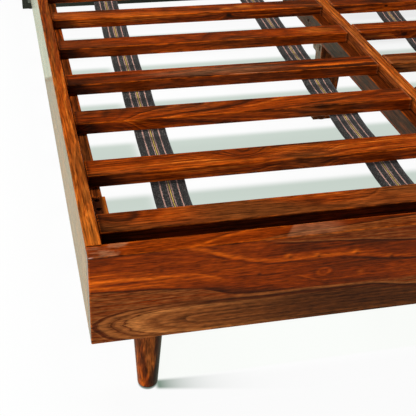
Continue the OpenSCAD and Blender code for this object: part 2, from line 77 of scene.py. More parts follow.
def tint(name, description, default):
    """A colour that the panel shows."""
    return FloatVectorProperty(
        name=name, description=description, default=default, subtype="COLOR", min=0, max=1
    )


def length(name, description, default, low, high):
    """A length in metres that the panel shows."""
    return FloatProperty(
        name=name, description=description, default=default,
        min=low, max=high, unit="LENGTH", subtype="DISTANCE", precision=4,
    )


class BedSizes(bpy.types.PropertyGroup):
    """Sizes of the details that are finished here."""

    ease: length("Eased edge", "Radius of the eased edges of the boards", 0.0022, 0.0005, 0.006)
    small_ease: length("Small eased edge", "Radius of the small blocks' eased edges", 0.0012, 0.0003, 0.004)
    strap_thick: length("Strap thickness", "Thickness of the webbing", 0.0017, 0.0008, 0.004)
    strap_curl: length("Strap curl", "Rise of a strap's middle over its edges", 0.0016, 0.0, 0.006)
    strap_cells: IntProperty(
        name="Strap cells", description="Cells across a strap", default=10, min=4, max=24
    )
    leg_facets: IntProperty(
        name="Leg facets", description="Facets round a turned leg", default=64, min=16, max=128
    )


class BedColours(bpy.types.PropertyGroup):
    """Colours of the finishes."""

    streak: tint("Dark streak", "Dark growth lines in the wood", (0.02, 0.005, 0.002))
    umber: tint("Umber", "Dark brown heartwood", (0.085, 0.014, 0.002))
    russet: tint("Russet", "Red-brown heartwood", (0.2, 0.0245, 0.001))
    amber: tint("Amber", "Orange heartwood", (0.375, 0.056, 0.002))
    honey: tint("Honey", "Light figure in the heartwood", (0.56, 0.14, 0.014))
    flame: tint("Flame", "Brightest orange figure", (0.7, 0.125, 0.005))
    bark: tint("Bark", "Dark brown of the outer wood", (0.08, 0.02, 0.004))
    tan: tint("Tan", "Middle brown of the outer wood", (0.19, 0.049, 0.009))
    sapwood: tint("Sapwood", "Light brown of the outer wood", (0.31, 0.092, 0.02))
    # soot is painted shade: on the first slats' fronts behind the foot rail, at the slats' ends, in the foot
    # rail's open joint and round the bottoms of the front legs.
    soot: tint("Soot", "Unfinished front of the first slats", (0.012, 0.003, 0.001))
    # dust is hazy lacquer, and also the colour of painted reflections and painted highlights on the outer
    # faces, the foot rail's top and some edges.
    dust: tint("Dull", "Hazy lacquer", (0.43, 0.18, 0.08))
    blond: tint("Blond", "Lightest brown of the outer wood", (0.47, 0.155, 0.036))
    charcoal: tint("Charcoal", "Frame of the headboard", (0.024, 0.026, 0.019))
    panel: tint("Panel", "Panel of the headboard", (0.15, 0.162, 0.13))
    webbing: tint("Webbing", "Ground of the webbing", (0.02, 0.019, 0.018))
    rose: tint("Rose stripe", "Pale stripes of the webbing", (0.68, 0.385, 0.31))
    gold: tint("Gold stripe", "Middle stripe of the webbing", (0.72, 0.49, 0.085))
    zinc: tint("Zinc", "Plated screws, bolts and brackets", (0.52, 0.52, 0.5))
    rubber: tint("Glide", "Plastic glides", (0.03, 0.027, 0.025))
    floor: tint("Floor", "Studio floor", (0.92, 0.98, 0.945))


def maths_method(operation, swapped=False):
    """A method for one of Python's operators, which adds a Math node."""

    def method(value, other):
        pair = (other, value) if swapped else (value, other)
        return value.nodes.maths(operation, *pair)

    return method


class Value:
    """A shader socket that Python's operators work on."""

    def __init__(self, nodes, socket):
        self.nodes = nodes
        self.socket = socket

    __add__, __radd__ = maths_method("ADD"), maths_method("ADD", swapped=True)
    __sub__, __rsub__ = maths_method("SUBTRACT"), maths_method("SUBTRACT", swapped=True)
    __mul__, __rmul__ = maths_method("MULTIPLY"), maths_method("MULTIPLY", swapped=True)
    __truediv__ = maths_method("DIVIDE")
    __pow__ = maths_method("POWER")

    def __abs__(self):
        return self.nodes.maths("ABSOLUTE", self)


class Nodes:
    """A tree whose nodes are written as expressions."""

    def __init__(self, tree):
        self.tree = tree
        tree.nodes.clear()

    def node(self, kind, settings=None, *values, out=0, **named):
        """Adds one node: its settings first, then the values or links of its sockets."""
        made = self.tree.nodes.new("ShaderNode" + kind)
        for key, setting in (settings or {}).items():
            if key == "stops":
                self.set_stops(made.color_ramp, setting)
            else:
                setattr(made.color_ramp if kind == "ValToRGB" else made, key, setting)
        for place, value in enumerate(values):
            self.feed(made.inputs[place], value)
        for name, value in named.items():
            self.feed(made.inputs[name.replace("_", " ")], value)
        return Value(self, made.outputs[out]) if made.outputs else None

    def feed(self, socket, value):
        """Links a value to a socket, or sets it there."""
        if isinstance(value, Value):
            self.tree.links.new(value.socket, socket)
        else:
            socket.default_value = (*value, 1.0) if socket.type == "RGBA" else value

    @staticmethod
    def set_stops(ramp, stops):
        while len(ramp.elements) < len(stops):
            ramp.elements.new(1.0)
        for element, (place, colour) in zip(ramp.elements, stops):
            element.position = place
            element.color = (*colour, 1.0)

    def maths(self, operation, *values):
        return self.node("Math", {"operation": operation}, *values)

    def split(self, vector):
        """The three parts of a vector."""
        parts = self.node("SeparateXYZ", None, vector).socket.node.outputs
        return [Value(self, part) for part in parts]

    def ray(self, kind):
        """1 for rays of one kind, such as Camera, and 0 for the rest."""
        return Value(self, self.node("LightPath").socket.node.outputs[f"Is {kind} Ray"])


# Millimetres that a profile spans along a board and down it, and how many of them
# lie above its zero.
PROFILE_RUN, PROFILE_DEEP, PROFILE_ABOVE = 1600.0, 200.0, 20.0


class Finish(Nodes):
    """A material, and the patterns that it is mixed from."""

    def __init__(self, name):
        self.material = bpy.data.materials.new(name)
        self.material.use_nodes = True
        self.hue = bpy.context.scene.bed_colours
        super().__init__(self.material.node_tree)

    def place(self):
        """The object's own coordinates, as three values."""
        return self.split(self.node("TexCoord", out=3))

    def point(self, x, y, z):
        return self.node("CombineXYZ", None, x, y, z)

    def cloud(self, point, detail=2.0, rough=0.5):
        """Soft noise in space, about 0 to 1."""
        return self.node("TexNoise", {"noise_dimensions": "3D"}, Vector=point, Scale=1.0,
                         Detail=detail, Roughness=rough)

    def bands(self, along, detail=2.0, rough=0.5):
        """Noise along one line, about 0 to 1."""
        return self.node("TexNoise", {"noise_dimensions": "1D"}, W=along, Scale=1.0,
                         Detail=detail, Roughness=rough)

    def squares(self, *parts):
        """The sum of the squares of the parts."""
        total = 0.0
        for part in parts:
            total = part * part + total
        return total

    def glow(self, *parts):
        """1 where all parts are 0, and near 0 where one of them is 2."""
        return self.maths("EXPONENT", self.squares(*parts) * -1.0)

    def hump(self, value, middle, width):
        """1 where value is middle, falling to 0 over about twice width."""
        return self.glow((value - middle) / width)

    def step(self, value, low, high):
        """0 below low and 1 above high, eased between."""
        return self.node("MapRange", {"interpolation_type": "SMOOTHSTEP"}, value, low, high, 0.0, 1.0)

    def fade(self, value, low, high):
        """1 below low and 0 above high, eased between."""
        return 1.0 - self.step(value, low, high)

    def paint(self, colour):
        """A colour, or the one of that name."""
        return getattr(self.hue, colour) if isinstance(colour, str) else colour

    def ramp(self, value, stops, interpolation="LINEAR"):
        """Colours over a value, from stops of a place and a colour or its name."""
        stops = [(place, self.paint(colour)) for place, colour in stops]
        return self.node("ValToRGB", {"stops": stops, "interpolation": interpolation}, value)

    def profile(self, value, points):
        """A smooth line through points: how high it lies at value, all in millimetres."""
        stops = [(x / PROFILE_RUN, ((y + PROFILE_ABOVE) / PROFILE_DEEP,) * 3) for x, y in points]
        return self.ramp(value / PROFILE_RUN, stops, "CARDINAL") * PROFILE_DEEP - PROFILE_ABOVE

    def blend(self, share, a, b, how="MIX"):
        """Mixes colours b over a. b may be a name."""
        made = self.tree.nodes.new("ShaderNodeMix")
        made.data_type, made.blend_type = "RGBA", how
        for place, value in ((0, share), (6, a), (7, self.paint(b))):
            self.feed(made.inputs[place], value)
        return Value(self, made.outputs[2])

    def bump(self, height, strength, distance):
        return self.node("Bump", None, Strength=strength, Distance=distance, Height=height)

    def close(self, colour, roughness, bump, **constants):
        """Ends the material in a Principled shader. Constants are set on its sockets."""
        shader = self.node("BsdfPrincipled", None, Base_Color=colour, Roughness=roughness,
                           Normal=bump, **constants)
        self.node("OutputMaterial", None, shader)
        return self.material


# For each way that the grain can run: the axes along it, across the board and through it.
GRAIN = {"X": (0, 1, 2), "XZ": (0, 2, 1), "Y": (1, 0, 2), "YZ": (1, 2, 0), "Z": (2, 0, 1)}

# How often the small blotches of the grain follow each other along a board, by its run.
BLOTCH = {"X": 34.0, "XZ": 52.0, "Y": 52.0, "YZ": 20.0, "Z": 52.0}


class Timber(Finish):
    """Lacquered rosewood. Its figure comes from growth rings round a heart line,
    so all faces of a board agree."""

    def __init__(self, name, run, low, high, seed):
        super().__init__(name)
        self.seed = seed
        self.spot = self.place()
        middle, half = (low + high) / 2, (high - low) / 2
        self.g, self.v, self.w = (self.spot[axis] - middle[axis] for axis in GRAIN[run])
        self.size = [half[axis] for axis in GRAIN[run]]
        self.fibre = self.cloud(self.along(14.0, 560.0, seed), rough=0.6)
        self.streak = self.cloud(self.along(11.0, 230.0, seed * 1.9), rough=0.65)
        self.mottle = self.cloud(self.along(BLOTCH[run], 230.0, seed * 0.7), rough=0.6)
        self.pores = self.cloud(self.along(38.0, 820.0, -seed), detail=1.0)

    def along(self, lengthwise, across, shift):
        """A point in space that is stretched along the grain."""
        return self.point(self.g * lengthwise + shift, self.v * across, self.w * across)

    def knot(self, place, share):
        """1 at a knot's middle, falling to 0 over its radius times share. It is drawn
        out along the grain."""
        *spot, radius = place
        pulls = (0.35 ** 0.5, 1.0, 1.0)
        return self.glow(*(
            (value - middle) * (pull / (radius * share))
            for value, middle, pull in zip((self.g, self.v, self.w), spot, pulls)
        ))

    def rings(self, heart, drift, knots, sway):
        """Distance from the heart line, disturbed as in grown wood."""
        broad = self.cloud(self.along(1.7, 6.0, self.seed)) - 0.5
        close = self.cloud(self.along(8.0, 30.0, -self.seed), detail=3.0, rough=0.6) - 0.5
        swirl = (broad * 0.045 + close * 0.009) * sway
        for place in knots:
            swirl = swirl + self.knot(place, 1.0) * (place[-1] * 1.1)
        out = self.v - heart[0] - self.g * drift[0] + swirl
        deep = self.w - heart[1] - self.g * drift[1] + broad * (0.03 * sway)
        return self.maths("SQRT", self.squares(out, deep))

    def growth(self, radius, ring, tone):
        """Level of the figure over the rings, about 0 for dark and 1 for light, and the
        broad patches in it."""
        zones = self.bands(radius * (34.0 * ring) + self.seed * 3.1, rough=0.55)
        fine = self.bands(radius * (170.0 * ring) + self.seed * 7.7, rough=0.75)
        patch = self.cloud(self.along(3.3, 11.0, self.seed * 2.0))
        level = (zones - 0.5) * 0.85 + (fine - 0.5) * 1.1 + (self.streak - 0.5) * 0.75
        return level + (patch - 0.5) * 0.6 + (tone - 0.5), patch

    def heartwood(self, level, patch, red):
        """Red heartwood and browner zones, picked by patch."""
        vivid = self.ramp(level, [
            (0.04, "streak"), (0.27, "umber"), (0.48, "russet"), (0.7, "amber"), (0.98, "honey")
        ])
        brown = self.ramp(level, [
            (0.04, "streak"), (0.3, "bark"), (0.58, "tan"), (0.98, "sapwood")
        ])
        return self.blend(self.step(patch, red - 0.16, red + 0.16), brown, vivid)

    def accent(self, colour, g, v, reach, width, paint, share):
        """Lays a long soft patch of another colour over the figure."""
        spread = self.glow((self.g - g) / reach, (self.v - v) / width)
        frayed = self.step(spread + (self.streak - 0.5) * 0.9, 0.25, 0.85)
        return self.blend(frayed * share, colour, paint)

    def outer_face(self, colour, low, high, axis, share, blotches):
        """The board's colour and coat. The face that looks away from the bed along axis gets a
        painted pale reflection with a tint, and a higher coat. The coat is strongest beyond a
        slanting line near the foot."""
        edge = max(abs(low[axis]), abs(high[axis]))
        outer = self.step(abs(self.spot[axis]), edge - 0.0025, edge - 0.0012)
        # Painted pale reflection on the outer face, and a painted tint of it.
        colour = self.blend(outer * (share * 0.24), colour, "dust")
        colour = self.blend(outer * share, colour, (0.97, 1.1, 0.68), "MULTIPLY")
        border = self.g + self.v * 2.1
        coat = self.step(border, -0.162, -0.148) * 0.41 + 0.325 - self.hump(border, -0.17, 0.01) * 0.16
        patchy = self.step(self.cloud(self.along(5.0, 22.0, -self.seed), detail=3.0), 0.38, 0.6)
        return colour, outer * coat * (patchy * blotches + (1.0 - blotches)) * share

    def arris(self, width):
        """1 on the edges where two faces of the board meet, 0 at width from them."""
        g, v, w = (half - abs(value) for half, value in zip(self.size, (self.g, self.v, self.w)))
        less = self.maths("MINIMUM", v, w)
        more = self.maths("MINIMUM", self.maths("MAXIMUM", v, w), g)
        return self.fade(self.maths("MAXIMUM", less, more), width * 0.4, width)

    def lacquer(self, colour, polish, crisp=1.0):
        """Adds painted highlights along the edges, fibres and pores and closes the material. polish
        is where the coat shows, and crisp how strong the fine grain is."""
        # Painted highlight along the edges, where the grain is light.
        painted_light = self.arris(0.0034) * self.step(self.mottle + self.streak, 0.8, 1.1)
        colour = self.blend(painted_light * 0.3, colour, "flame")
        grain = self.fibre * 0.45 + self.mottle * 0.55
        half = 0.14 / crisp
        shade = self.ramp(grain, [(0.5 - half, (0.45,) * 3), (0.5, (1.0,) * 3), (0.5 + half, (1.5,) * 3)])
        colour = self.blend(0.9, colour, shade, "MULTIPLY")
        dash = self.step(self.pores, 0.58, 0.7)
        colour = self.blend(dash * 0.5, colour, "streak")
        rough = self.fibre * 0.1 + dash * 0.15 + 0.3
        relief = self.fibre * 0.5 - dash * 0.8 + self.streak * 0.5
        return self.close(colour, rough, self.bump(relief, 0.22, 0.0006),
                          Specular_IOR_Level=0.05, Coat_Weight=polish, Coat_Roughness=0.12)


def wood(name, run, low, high, seed, heart=(0.05, -0.06), drift=(0.0, 0.0), ring=1.0,
         tone=1.0, red=0.4, dark=0.5, sway=1.0, bumps=(), knots=(), accents=(), seams=(),
         outside=None, lighter=0.0):
    """Rosewood as it would be sawn from a log. run says which way the grain runs, heart
    where the log's middle lies from the board's, drift how that changes along the
    board. Rings bulge round bumps and dark knots, and accents are long patches of one
    colour. seams are lines along the board: place, width, strength and paint. Some accents
    and seams are painted shade and painted highlights. outside is the axis whose outer face
    has the higher polish and a painted pale reflection, how much of them, and how blotchy the
    polish is. lighter is how fast the wood gets lighter along the board."""
    f = Timber(name, run, low, high, seed)
    radius = f.rings(heart, drift, (*bumps, *knots), sway)
    level, patch = f.growth(radius, ring, tone)
    colour = f.heartwood(level + f.g * lighter, patch, red)
    lines = f.fade(abs(f.bands(radius * (60.0 * ring) + seed * 5.3, detail=1.0) - 0.5), 0.0, 0.04)
    colour = f.blend(lines * dark, colour, "streak")
    for accent in accents:
        colour = f.accent(colour, *accent)
    for place in knots:
        colour = f.blend(f.step(f.knot(place, 0.4), 0.15, 0.75) * 0.92, colour, (0.01, 0.004, 0.002))
    for middle, width, share, paint in seams:
        wander = (f.cloud(f.along(6.0, 0.0, seed)) - 0.5) * min(width * 2.0, 0.006)
        colour = f.blend(f.hump(f.w + wander, middle, width) * share, colour, paint)
    polish = 0.0
    if outside is not None:
        colour, polish = f.outer_face(colour, low, high, *outside)
    return f.lacquer(colour, polish, crisp=1.4)


# Lines of the foot rail's figure: how far each lies below the top, along the rail.
FOOT_LINES = {
    "sky": ((0, -12), (255, -6), (300, 6), (350, 13), (430, 18), (500, 25), (600, 35), (800, 44),
            (1200, 30), (1590, 4)),
    "flame": ((0, -18), (140, -10), (165, 3), (200, 17), (230, 30), (260, 38), (300, 48), (350, 50),
              (450, 54), (500, 63), (565, 70), (700, 66), (1000, 60), (1200, 68), (1590, 52)),
    "first": ((0, 37), (50, 37), (90, 42), (130, 50), (300, 70), (1590, 60)),
    "second": ((0, 50), (60, 50), (100, 53), (150, 54), (185, 58), (222, 71), (300, 90), (1590, 90)),
    "third": ((0, 63), (40, 66), (80, 70), (120, 75), (200, 90), (1590, 100)),
    "seam": ((0, 71), (50, 75), (100, 79), (130, 82), (160, 86), (190, 91), (210, 97), (225, 103),
             (245, 108), (270, 111), (350, 113), (560, 114), (800, 120), (1000, 112), (1250, 122),
             (1590, 110)),
    "arc": ((0, 60), (340, 79), (362, 85), (380, 93), (400, 99), (440, 99), (480, 97), (530, 100),
            (1590, 100)),
    "brow": ((0, 117), (80, 115), (150, 114), (250, 117), (450, 119), (500, 121), (530, 126),
             (600, 134), (800, 132), (1000, 126), (1300, 138), (1590, 128)),
}

# Light and dark streaks beside those lines: the line, how far below it and how wide,
# where along the rail it comes in and goes out, and how much lighter it is.
FOOT_STREAKS = (
    ("flame", -10.0, 7.0, (310, 350), (470, 520), 0.13), ("flame", 2.2, 2.4, (180, 215), None, -0.22),
    ("second", 5.0, 13.0, None, (200, 235), 0.08), ("first", 0.0, 2.4, None, (85, 125), 0.22),
    ("second", 0.5, 3.6, None, (212, 232), 0.27), ("third", 0.0, 3.2, None, (120, 190), 0.14),
    ("second", 9.0, 2.2, (10, 30), (70, 110), -0.24), ("seam", -1.5, 3.0, None, (130, 190), -0.12),
    ("seam", -1.5, 3.0, None, None, -0.04), ("arc", 0.0, 1.7, (345, 362), (470, 505), 0.2),
    ("arc", 4.0, 2.6, (345, 362), (420, 470), -0.08),
)

# Lines drawn where its layers meet, in the same way, with their share and paint.
FOOT_EDGES = (
    ("seam", 0.0, 1.6, None, (150, 200), 0.85, "streak"),
    ("brow", -2.6, 2.1, (230, 300), None, 0.8, "sapwood"),
    ("brow", 1.6, 2.0, (150, 220), None, 0.7, "streak"),
    ("sky", -1.8, 1.5, (285, 340), None, 0.55, "sapwood"),
    ("sky", 1.4, 1.7, (285, 340), None, 0.85, "streak"),
)

# Pips in its heartwood: along, down, share of glow and share of dark.
FOOT_PIPS = (
    (335, 38, 0.5, 0.5), (386, 42, 0.5, 0.6), (455, 45, 0.75, 0.5), (521, 61, 0.25, 0.6),
    (283, 67, 0.05, 0.6), (115, 37, 0.05, 0.5), (472, 90, 0.22, 0.0),
)

# Rings of a small eye in it: radius, width and how much lighter.
FOOT_EYE = ((7.5, 2.3, 0.17), (3.8, 2.0, -0.06), (0.0, 2.4, 0.08), (12.0, 2.4, -0.07))

# Browns of the figure low on the rail, from the middle of the nest to its rim.
NEST_BROWNS = (
    (0.0, "tan"), (0.1, "tan"), (0.19, "sapwood"), (0.215, "bark"), (0.29, "tan"), (0.38, "sapwood"),
    (0.45, "tan"), (0.53, "sapwood"), (0.6, "blond"), (0.66, "blond"), (0.68, "umber"), (0.7, "sapwood"),
    (0.745, "sapwood"), (0.775, "umber"), (0.8, "tan"), (0.84, "sapwood"), (0.885, "sapwood"),
    (0.915, "umber"), (0.945, "umber"), (0.97, "sapwood"), (1.0, "blond"),
)


class FootTimber(Timber):
    """The foot rail's wide figure: flames in the red heartwood, a brown layer under
    them, and below that a brown figure nested in long U shapes. The top mirrors the
    upper part of the front, as the rings do in the real board. Places are in millimetres
    from the left end, the top, the front and the back."""

    def __init__(self, name, low, high):
        super().__init__(name, "XZ", low, high, 2.0)
        x, y, z = self.spot
        self.warp = self.cloud(self.along(9.0, 24.0, 5.0), detail=3.0, rough=0.55) - 0.5
        self.slow = self.cloud(self.along(2.6, 8.0, 9.0), detail=1.0) - 0.5
        self.patch = self.cloud(self.along(5.0, 16.0, 31.0))
        self.top = self.step(z, high.z - 0.0012, high.z - 0.0004)
        self.end = (x - low.x) * 1000.0
        self.down = (high.z - z) * 1000.0
        self.inward = (y - low.y) * 1000.0
        self.behind = (high.y - y) * 1000.0
        self.depth = self.down + self.inward * 1.25 + self.warp * 6.0
        self.over = {
            line: self.depth - self.profile(self.end, points) for line, points in FOOT_LINES.items()
        }

    def span(self, rise=None, fall=None):
        """1 along a stretch of the rail, between where it comes in and goes out."""
        share = self.step(self.end, *rise) if rise else 1.0
        return self.fade(self.end, *fall) * share if fall else share

    def trace(self, line, below, width, rise=None, fall=None):
        """1 along a stretch of one of the rail's lines."""
        return self.hump(self.over[line], below, width) * self.span(rise, fall)


def foot_heartwood(f):
    """Flames, an eye and pips in the red heartwood."""
    end, depth, over, patch = f.end, f.depth, f.over, f.patch
    run = depth + f.slow * 30.0 - f.step(end, 80.0, 300.0) * 30.0
    bands = f.bands(run * 0.05 + 3.3, rough=0.6)
    fine = f.bands(run * 0.3 + 1.7, detail=3.0, rough=0.7)
    level = (bands - 0.5) * 0.45 + (fine - 0.5) * 0.38 + (f.streak - 0.5) * 0.4
    level = level + (patch - 0.5) * 0.55 + 0.52
    level = level + f.trace("flame", -4.0, 5.0, (140, 175), (520, 640)) * (patch * 0.5 + 0.06)
    for *place, lighter in FOOT_STREAKS:
        level = level + f.trace(*place) * lighter
    level = level - f.span((240, 330)) * 0.045 + f.span(fall=(110, 190)) * 0.055
    level = level - f.fade(over["flame"], -26.0, -12.0) * f.span((290, 360)) * 0.1
    level = level - f.step(over["seam"], -26.0, -3.0) * f.span((100, 205), (290, 360)) * 0.26
    level = level - f.fade(end + depth * 1.6, 30.0, 72.0) * 0.16
    level = level - f.fade(f.down, 1.0, 5.0) * (1.0 - f.top) * 0.22
    eye = f.maths("SQRT", f.squares((end - 403.0) * 0.4 ** 0.5, depth - 82.0)) + f.warp * 7.0
    for radius, width, lighter in FOOT_EYE:
        level = level + f.hump(eye, radius, width) * lighter
    colour = f.ramp(level, [
        (0.05, "streak"), (0.28, "umber"), (0.48, "russet"), (0.72, "amber"), (1.0, "flame")
    ])
    for x, y, glow, dark in FOOT_PIPS:
        for shift, size, share, paint in ((0, 4.2, glow * 1.3, "flame"), (4, 3.0, dark * 1.3, "streak")):
            near = f.glow((end - x - shift) * (0.5 ** 0.5 / size), (depth - y - shift) / size)
            colour = f.blend(near * share, colour, paint)
    return colour


def foot_stripes(f):
    """The brown layer under the heartwood, which also comes up along the top."""
    lines = f.bands((f.depth + f.slow * 16.0) * 0.34 + 8.3, detail=3.0, rough=0.75)
    level = (lines - 0.5) * 1.2 + (f.streak - 0.5) + (f.mottle - 0.5) * 0.4 + 0.5
    return f.ramp(level, [(0.12, "umber"), (0.34, "russet"), (0.56, "tan"), (0.95, "sapwood")])


def foot_nest(f):
    """The brown figure low on the rail, and how far from its middle a point lies."""
    depth = f.depth
    lean = f.maths("MAXIMUM", depth - 148.0, 0.0) * 0.55
    nose = f.maths("MAXIMUM", 40.4 - (f.end - lean) * 0.2, 0.0)
    nest = (nose ** 3.0 + abs(depth - 152.0) ** 3.0) ** (1 / 3) + f.warp * 5.0 + f.slow * 3.0
    thin = f.bands(nest * 0.42 + 4.1, detail=3.0, rough=0.75)
    tone = nest / 42.0 + (thin - 0.5) * 0.07 + (f.streak - 0.5) * 0.06
    colour = f.ramp(tone, NEST_BROWNS)
    dull = (thin - 0.5) * 0.9 + (f.streak - 0.5) + (f.patch - 0.5) * 0.7 + 0.5
    grey = f.ramp(dull, [(0.15, "streak"), (0.55, "bark"), (0.95, "tan")])
    colour = f.blend(f.span((105, 200)) * 0.3, colour, "tan")
    colour = f.blend(f.span((150, 420)) * 0.92, colour, grey)
    return f.blend(f.trace("brow", 3.5, 4.0, (60, 200)) * 0.85, colour, "umber"), nest


def foot_figure(name, low, high):
    """The foot rail's wood, with painted reflections, a painted shadow in the joint and a painted glint at
    the corner.
    """
    f = FootTimber(name, low, high)
    end, over = f.end, f.over
    stripes = foot_stripes(f)
    lower, nest = foot_nest(f)
    colour = f.blend(f.step(over["seam"], -1.0, 1.0), foot_heartwood(f), stripes)
    under = f.step(over["brow"], -1.0, 1.0) * f.span((40, 110))
    within = f.maths("MAXIMUM", under, f.fade(nest, 39.5, 41.5))
    colour = f.blend(within * f.step(over["brow"], -4.0, 0.0), colour, lower)
    strip = f.fade(over["sky"], -1.0, 1.0) * f.span((250, 300))
    colour = f.blend(strip * (f.top * 0.2 + 0.7), colour, stripes)
    for *place, share, paint in FOOT_EDGES:
        colour = f.blend(f.trace(*place) * share, colour, paint)
    slant = end - f.inward * 0.7
    # Painted reflections of lamps on the top: a soft patch near the left end and a slanted glare further
    # along.
    top_reflection = f.fade(slant, 42.0, 52.0) * (f.step(end, 2.0, 26.0) * 0.7 + 0.3)
    top_reflection = top_reflection * f.step(f.cloud(f.along(55.0, 95.0, 12.0), detail=3.0), 0.36, 0.6)
    glare = f.step(slant, 325.0, 331.0) * f.fade(end, 400.0, 450.0) * (f.patch * 0.5 + 0.5)
    colour = f.blend(f.top * (top_reflection * 0.6 + glare * 0.44), colour, "dust")
    # Painted shade in the open joint, where the side rail butts the top.
    joint = f.fade(f.behind + f.warp * 3.0, 3.4, 5.0) * f.fade(end, 24.0, 27.0) * f.fade(f.down, 2.0, 3.0)
    colour = f.blend(joint * 0.9, colour, "soot")
    # Painted glint on the front edge at the near corner.
    corner_glint = f.hump(f.down + f.inward, 1.0, 0.8) * f.fade(end + f.warp * 12.0, 3.0, 11.0)
    colour = f.blend(corner_glint * 0.6, colour, (0.5, 0.5, 0.46))
    end_grain = f.step(abs(f.spot[0]) / high.x, 0.9982, 0.9992)
    return f.lacquer(colour, end_grain * 0.36)


def stained_wood(name, run, paint, low, high, seed):
    """Dark stained wood whose grain shows faintly."""
    f = Finish(name)
    base = f.paint(paint)
    spot, middle = f.place(), (low + high) / 2
    g, v, w = (spot[axis] - middle[axis] for axis in GRAIN[run])
    wave = f.cloud(f.point(g * 1.5 + seed, v * 9.0, w * 9.0), detail=3.0) - 0.5
    grain = f.bands((v + wave * 0.05) * 210.0 + w * 90.0 + seed, detail=3.0, rough=0.65)
    fibre = f.cloud(f.point(g * 18.0, v * 700.0, w * 700.0 + seed))
    level = grain * 0.6 + fibre * 0.4
    dim = [c * 0.5 for c in base]
    lit = [min(1.0, c * 1.65 + 0.006) for c in base]
    colour = f.ramp(level, [(0.28, dim), (0.5, base), (0.74, lit)])
    return f.close(colour, fibre * 0.12 + 0.42, f.bump(level, 0.25, 0.0006),
                   Specular_IOR_Level=0.15, Coat_Weight=0.1, Coat_Roughness=0.25)


def webbing(name, width, run, shaded_rows):
    """Striped cotton webbing, woven in ribs across the strap, on the strap's own map.
    It has painted shade just in front of each slat: shaded_rows is where the first slat lies and their
    pitch."""
    f = Finish(name)
    across, along, _ = f.split(f.node("UVMap", {"uv_map": "weave"}))
    thread = f.maths("SINE", along * (run * 2 * math.pi / 0.0042))
    yarn = f.maths("SINE", across * (width * 2 * math.pi / 0.0021))
    fuzz = f.cloud(f.point(across * width * 330.0, along * run * 250.0, 0.0), detail=3.0, rough=0.7)
    ground, rose, gold = f.hue.webbing, f.hue.rose, f.hue.gold
    mauve = [c * 0.85 for c in rose]
    stripes = f.ramp(across + (fuzz - 0.5) * 0.012, [
        (0.0, ground), (0.226, rose), (0.264, ground), (0.428, mauve), (0.458, ground), (0.482, gold),
        (0.518, ground), (0.542, mauve), (0.572, ground), (0.736, rose), (0.774, ground),
    ], "CONSTANT")
    stitch = f.step(thread * 0.5 + yarn * 0.35 + fuzz * 0.5, -0.25, 0.55)
    colour = f.blend(0.62, stripes, f.ramp(stitch, [(0.0, (0.42,) * 3), (1.0, (1.12,) * 3)]), "MULTIPLY")
    colour = f.blend(f.step(fuzz, 0.53, 0.6) * 0.46, colour, (0.21, 0.195, 0.17))
    # Painted shade on the strap just in front of each slat.
    painted_light = f.maths("FRACT", (along * run - shaded_rows[0]) / shaded_rows[1])
    colour = f.blend(f.step(painted_light, 0.8, 0.97) * 0.55, colour, (0.004, 0.004, 0.004))
    colour = f.blend(f.fade(fuzz, 0.36, 0.46) * 0.75, colour, (0.006, 0.006, 0.006))
    return f.close(colour, 0.86 - stitch * 0.08, f.bump(stitch + fuzz * 0.4, 0.6, 0.0008),
                   Sheen_Weight=0.25, Sheen_Roughness=0.5)


def plated_steel(name):
    """Zinc plate with faint scratches and duller patches."""
    f = Finish(name)
    x, y, z = f.place()
    cloudy = f.cloud(f.point(x * 90.0, y * 90.0, z * 90.0), detail=3.0)
    scratch = f.cloud(f.point(x * 900.0, y * 60.0, z * 900.0))
    colour = f.ramp(cloudy, [(0.3, [c * 0.72 for c in f.hue.zinc]), (0.7, f.hue.zinc)])
    return f.close(colour, cloudy * 0.22 + 0.28, f.bump(scratch, 0.12, 0.0003), Metallic=1.0)


def moulded_plastic(name):
    """Dark glide with a fine moulded surface and a scuffed rim."""
    f = Finish(name)
    x, y, z = f.place()
    grit = f.cloud(f.point(x * 900.0, y * 900.0, z * 900.0))
    scuff = f.cloud(f.point(x * 120.0, y * 120.0, z * 400.0), detail=3.0)
    colour = f.ramp(scuff, [(0.35, f.hue.rubber), (0.75, [c * 2.2 for c in f.hue.rubber])])
    return f.close(colour, grit * 0.2 + 0.45, f.bump(grit, 0.3, 0.0003))


def as_object(name, bm):
    """Makes a shape into an object of the scene."""
    mesh = bpy.data.meshes.new(name)
    bm.to_mesh(mesh)
    bm.free()
    made = bpy.data.objects.new(name, mesh)
    bpy.context.scene.collection.objects.link(made)
    return made


def add_piece(name, bm, finish, node, even=True):
    """Makes a shape into a piece that rides on the bed and stands for a node. Even
    normals keep flat faces flat, so that only the eased edges shade round."""
    bmesh.ops.recalc_face_normals(bm, faces=bm.faces)
    for face in bm.faces:
        face.smooth = True
    piece = as_object(name, bm)
    piece.data.materials.append(finish)
    if even:
        piece.modifiers.new("Even normals", "WEIGHTED_NORMAL").keep_sharp = True
    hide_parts(node)
    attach(piece, BODY)
    return piece


def ease_edges(bm, edges, radius, segments):
    """Rounds edges a little."""
    bmesh.ops.bevel(bm, geom=edges, offset=radius, offset_type="OFFSET", segments=segments,
                    profile=0.5, affect="EDGES", material=-1, clamp_overlap=True)


def block(low, high, ease):
    """A rectangular board with every edge eased."""
    bm = bmesh.new()
    bmesh.ops.create_cube(bm, size=1.0)
    bmesh.ops.scale(bm, vec=high - low, verts=bm.verts)
    bmesh.ops.translate(bm, vec=(low + high) / 2, verts=bm.verts)
    ease_edges(bm, bm.edges[:], ease, 3)
    return bm


